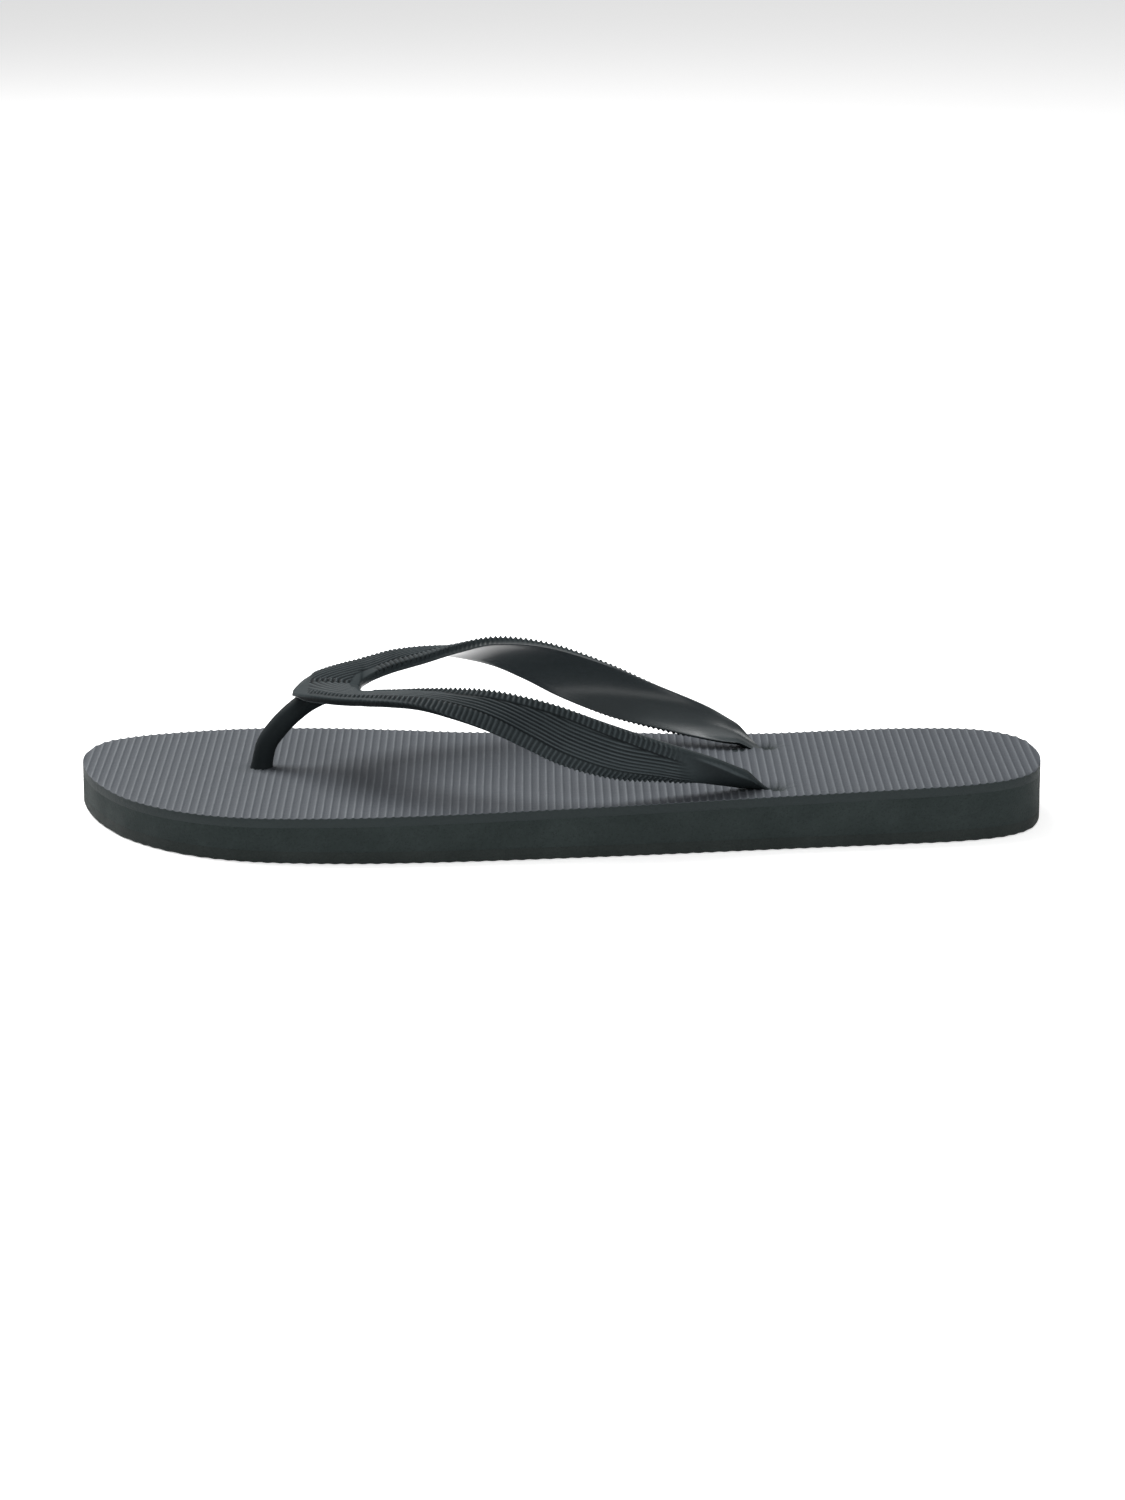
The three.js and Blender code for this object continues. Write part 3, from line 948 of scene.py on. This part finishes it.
def footbed_rubber():
    """Grey footbed: ribs paler from wear and painted highlight, painted shade in the grooves, on
    the sides and in the hollows, fine lengthwise wrinkles and pores.
    """
    material, tree, shader = new_finish("footbed rubber", 0.2)
    tone = placed(tree, mottle_group, {
        "Colour": (0.069, 0.077, 0.087, 1.0), "Cloud Scale": 45.0,
        "Speckle Scale": 700.0, "Strength": 0.10,
    })
    worn_and_shaded = placed(tree, wear_and_shade_group, {
        "Colour": tone.outputs["Colour"],
        "Crest Colour": (0.122, 0.133, 0.146, 1.0),
        "Painted Shade Colour": (0.062, 0.069, 0.079, 1.0),
        "Patchiness": 0.35, "Gloss Change": 0.08, "Roughness": 0.72,
    })
    pores = placed(tree, pores_group, {
        "Pore Scale": 1500.0, "Pore Size": 0.35, "Grain Scale": 4200.0, "Grain": 0.6,
    })
    place = tree.nodes.new("ShaderNodeTexCoord").outputs["Object"]
    stretch = tree.nodes.new("ShaderNodeMapping")
    stretch.inputs["Scale"].default_value = (0.16, 1.0, 0.5)
    tree.links.new(place, stretch.inputs["Vector"])
    wrinkles = noise_of(tree, stretch.outputs["Vector"], 620.0, 3.0, 0.55)
    folds = math_node(tree, "MULTIPLY", wrinkles, 2.2)
    height = math_node(tree, "ADD", pores.outputs["Height"], folds)
    wall = tree.nodes.new("ShaderNodeAttribute")
    wall.attribute_name = "wall"
    skin = mix_colours(tree, wall.outputs["Fac"], worn_and_shaded.outputs["Colour"], FOOTBED_PAINTED_SHADE_COLOUR)
    tree.links.new(skin, shader.inputs["Base Color"])
    tree.links.new(worn_and_shaded.outputs["Roughness"], shader.inputs["Roughness"])
    raise_bump(tree, shader, height, 0.00012, 0.7)
    return material


def foam(name, colour, pit_shade_colour, roughness, pore_scale, depth):
    """Closed-cell foam or rubber wall with fine pits darkened by painted shade."""
    material, tree, shader = new_finish(name, 0.12)
    tone = placed(tree, mottle_group, {
        "Colour": colour, "Cloud Scale": 70.0, "Speckle Scale": 1100.0, "Strength": 0.22,
    })
    pores = placed(tree, pores_group, {
        "Pore Scale": pore_scale, "Pore Size": 0.42, "Grain Scale": 3800.0, "Grain": 0.7,
    })
    # Painted shade in the pits.
    pit_shaded = mix_colours(
        tree, math_node(tree, "MULTIPLY", pores.outputs["Pits"], 0.6),
        tone.outputs["Colour"], pit_shade_colour,
    )
    gloss = range_of(tree, tone.outputs["Clouds"], 0.3, 0.7, roughness + 0.06, roughness - 0.06)
    tree.links.new(pit_shaded, shader.inputs["Base Color"])
    tree.links.new(gloss, shader.inputs["Roughness"])
    raise_bump(tree, shader, pores.outputs["Height"], depth, 0.8)
    return material


def strap_rubber():
    """Strap: matt ribbed outside, smoother and glossier inner face, crests paler from wear and
    painted highlight, painted shade in the grooves, on the walls, the tails and the toe post.
    """
    material, tree, shader = new_finish("strap rubber", 0.06)
    shader.inputs["Coat Roughness"].default_value = 0.28
    shader.inputs["Coat IOR"].default_value = 1.6
    tone = placed(tree, mottle_group, {
        "Colour": (0.027, 0.0345, 0.037, 1.0), "Cloud Scale": 80.0,
        "Speckle Scale": 1300.0, "Strength": 0.10,
    })
    worn_and_shaded = placed(tree, wear_and_shade_group, {
        "Colour": tone.outputs["Colour"],
        "Crest Colour": (0.050, 0.060, 0.0645, 1.0),
        "Painted Shade Colour": (0.0055, 0.0075, 0.0085, 1.0),
        "Patchiness": 0.5, "Gloss Change": 0.08, "Roughness": 0.58,
    })
    side = tree.nodes.new("ShaderNodeAttribute")
    side.attribute_name = "inner_face"
    tree.links.new(side.outputs["Fac"], shader.inputs["Coat Weight"])
    inside = mix_colours(tree, side.outputs["Fac"], worn_and_shaded.outputs["Colour"],
                         (0.032, 0.041, 0.044, 1.0))
    smooth = math_node(tree, "MULTIPLY", side.outputs["Fac"], 0.22)
    gloss = math_node(tree, "SUBTRACT", worn_and_shaded.outputs["Roughness"], smooth)
    pores = placed(tree, pores_group, {
        "Pore Scale": 1800.0, "Pore Size": 0.3, "Grain Scale": 5000.0, "Grain": 0.6,
    })
    tree.links.new(inside, shader.inputs["Base Color"])
    tree.links.new(gloss, shader.inputs["Roughness"])
    raise_bump(tree, shader, pores.outputs["Height"], 0.00005, 0.5)
    return material


footbed_finish = footbed_rubber()
midsole_finish = foam(
    "midsole foam", FOAM_COLOUR, (0.012, 0.016, 0.016, 1.0), 0.75, 1300.0, 0.00012
)
outsole_finish = foam(
    "outsole rubber", (0.0175, 0.0225, 0.0215, 1.0), (0.011, 0.014, 0.014, 1.0),
    0.7, 1600.0, 0.0001,
)
strap_finish = strap_rubber()

# ---- The pieces -----------------------------------------------------------------------------

rib_spacing = (RIB_PITCH_TOE + RIB_PITCH_HEEL) / 2 / ROWS_PER_RIB
footbed = link_piece(
    "ribbed_footbed",
    sole_layer(rib_spacing, 18, 0.2, 0.03, top_of_sole, under_footbed, footbed_relief, flat),
    footbed_finish,
    sharp_above=SHARP_ANGLE,
)
midsole = link_piece(
    "foam_midsole",
    sole_layer(
        1.0, 14, 0.03, 0.03, under_footbed, lambda x: np.full_like(x, OUTSOLE_THICKNESS),
        plain, flat,
    ),
    midsole_finish,
    sharp_above=SHARP_ANGLE,
)
outsole = link_piece(
    "tread_outsole",
    sole_layer(0.5, 40, 0.03, 0.8, lambda x: np.full_like(x, OUTSOLE_THICKNESS),
               np.zeros_like, plain, tread),
    outsole_finish,
    sharp_above=SHARP_ANGLE,
)

# Name, place, stem radius, the body it rides and its top's height above the footbed.
STEMS = [
    ("toe", TOE_POST_X, TOE_POST_Y, TOE_POST_RADIUS, "forefoot", -1.0),
    ("outer", TAIL_STEM_X, TAILS_Y - TAIL_STEM_SPREAD, TAIL_STEM_RADIUS, "rear", -0.6),
    ("inner", TAIL_STEM_X, TAILS_Y + TAIL_STEM_SPREAD, TAIL_STEM_RADIUS, "rear", -0.6),
]

# Round holes for the buttons go right through the outsole.
cutter_shape = bmesh.new()
for _, x, y, _, _, _ in STEMS:
    bmesh.ops.create_cone(
        cutter_shape, cap_ends=True, segments=64, depth=8.0,
        radius1=HOLE_RADIUS, radius2=HOLE_RADIUS,
        matrix=Matrix.Translation((x, y, 2.0)),
    )
cutter = link_piece("cutter", cutter_shape, outsole_finish)
cut = outsole.modifiers.new("button holes", "BOOLEAN")
cut.operation = "DIFFERENCE"
cut.object = cutter
cut.solver = "EXACT"
graph = bpy.context.evaluated_depsgraph_get()
holed = bpy.data.meshes.new_from_object(outsole.evaluated_get(graph))
outsole.modifiers.clear()
outsole.data = holed
holed.name = "tread_outsole"
holed.set_sharp_from_angle(angle=math.radians(SHARP_ANGLE))
bpy.data.objects.remove(cutter)

strap = link_piece("moulded_strap", strap_legs(), strap_finish)
toe_post = link_piece("toe_post", toe_post_shape(), strap_finish)
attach(toe_post, "forefoot")
for place, x, y, radius, body, above in STEMS:
    button = link_piece(
        place + "_stem_button",
        stem_and_button(x, y, radius, top_of_sole(x) + above),
        strap_finish,
        sharp_above=SHARP_ANGLE,
    )
    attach(button, body)

for piece, layer in ((footbed, "footbed"), (midsole, "midsole"), (outsole, "outsole")):
    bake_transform(piece)
    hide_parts(layer + "_front", layer + "_rear")
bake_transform(strap)
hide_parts("thong_strap")

# ---- Floor and light ------------------------------------------------------------------------

FLOOR_HALF_WIDTH = 12.0
floor_shape = bmesh.new()
bmesh.ops.create_grid(floor_shape, x_segments=1, y_segments=1, size=FLOOR_HALF_WIDTH / MM)
floor_finish = bpy.data.materials.new("white floor")
floor_finish.use_nodes = True
floor_shader = floor_finish.node_tree.nodes["Principled BSDF"]
floor_shader.inputs["Base Color"].default_value = (0.85, 0.85, 0.85, 1.0)
floor_shader.inputs["Roughness"].default_value = 0.9
floor_shader.inputs["Specular IOR Level"].default_value = 0.0
floor_shader.inputs["Emission Color"].default_value = (1.0, 1.0, 1.0, 1.0)
floor_shader.inputs["Emission Strength"].default_value = 0.55
floor = link_piece("floor", floor_shape, floor_finish)

LIT_POINT = Vector((0.0, 0.0, 0.02))


def soft_light(name, place, size, power):
    """A rectangular lamp in metres and watts, aimed at the sandal."""
    lamp = bpy.data.lights.new(name, "AREA")
    lamp.shape = "RECTANGLE"
    lamp.size = size[0]
    lamp.size_y = size[1]
    lamp.energy = power
    holder = bpy.data.objects.new(name, lamp)
    bpy.context.scene.collection.objects.link(holder)
    holder.location = place
    holder.rotation_euler = (LIT_POINT - Vector(place)).to_track_quat("-Z", "Y").to_euler()


soft_light("key light", (-0.75, 0.75, 1.25), (1.2, 1.2), 39.0)
soft_light("top light", (0.3, 0.2, 1.6), (1.4, 1.4), 5.0)
soft_light("front light", (0.3, -1.2, 0.85), (0.5, 1.2), 9.0)
world = bpy.context.scene.world or bpy.data.worlds.new("studio")
bpy.context.scene.world = world
world.use_nodes = True
backdrop = world.node_tree.nodes["Background"]
backdrop.inputs["Color"].default_value = (1.0, 1.0, 1.0, 1.0)
backdrop.inputs["Strength"].default_value = 0.19
bpy.context.scene.view_settings.view_transform = "Standard"

bpy.context.view_layer.update()
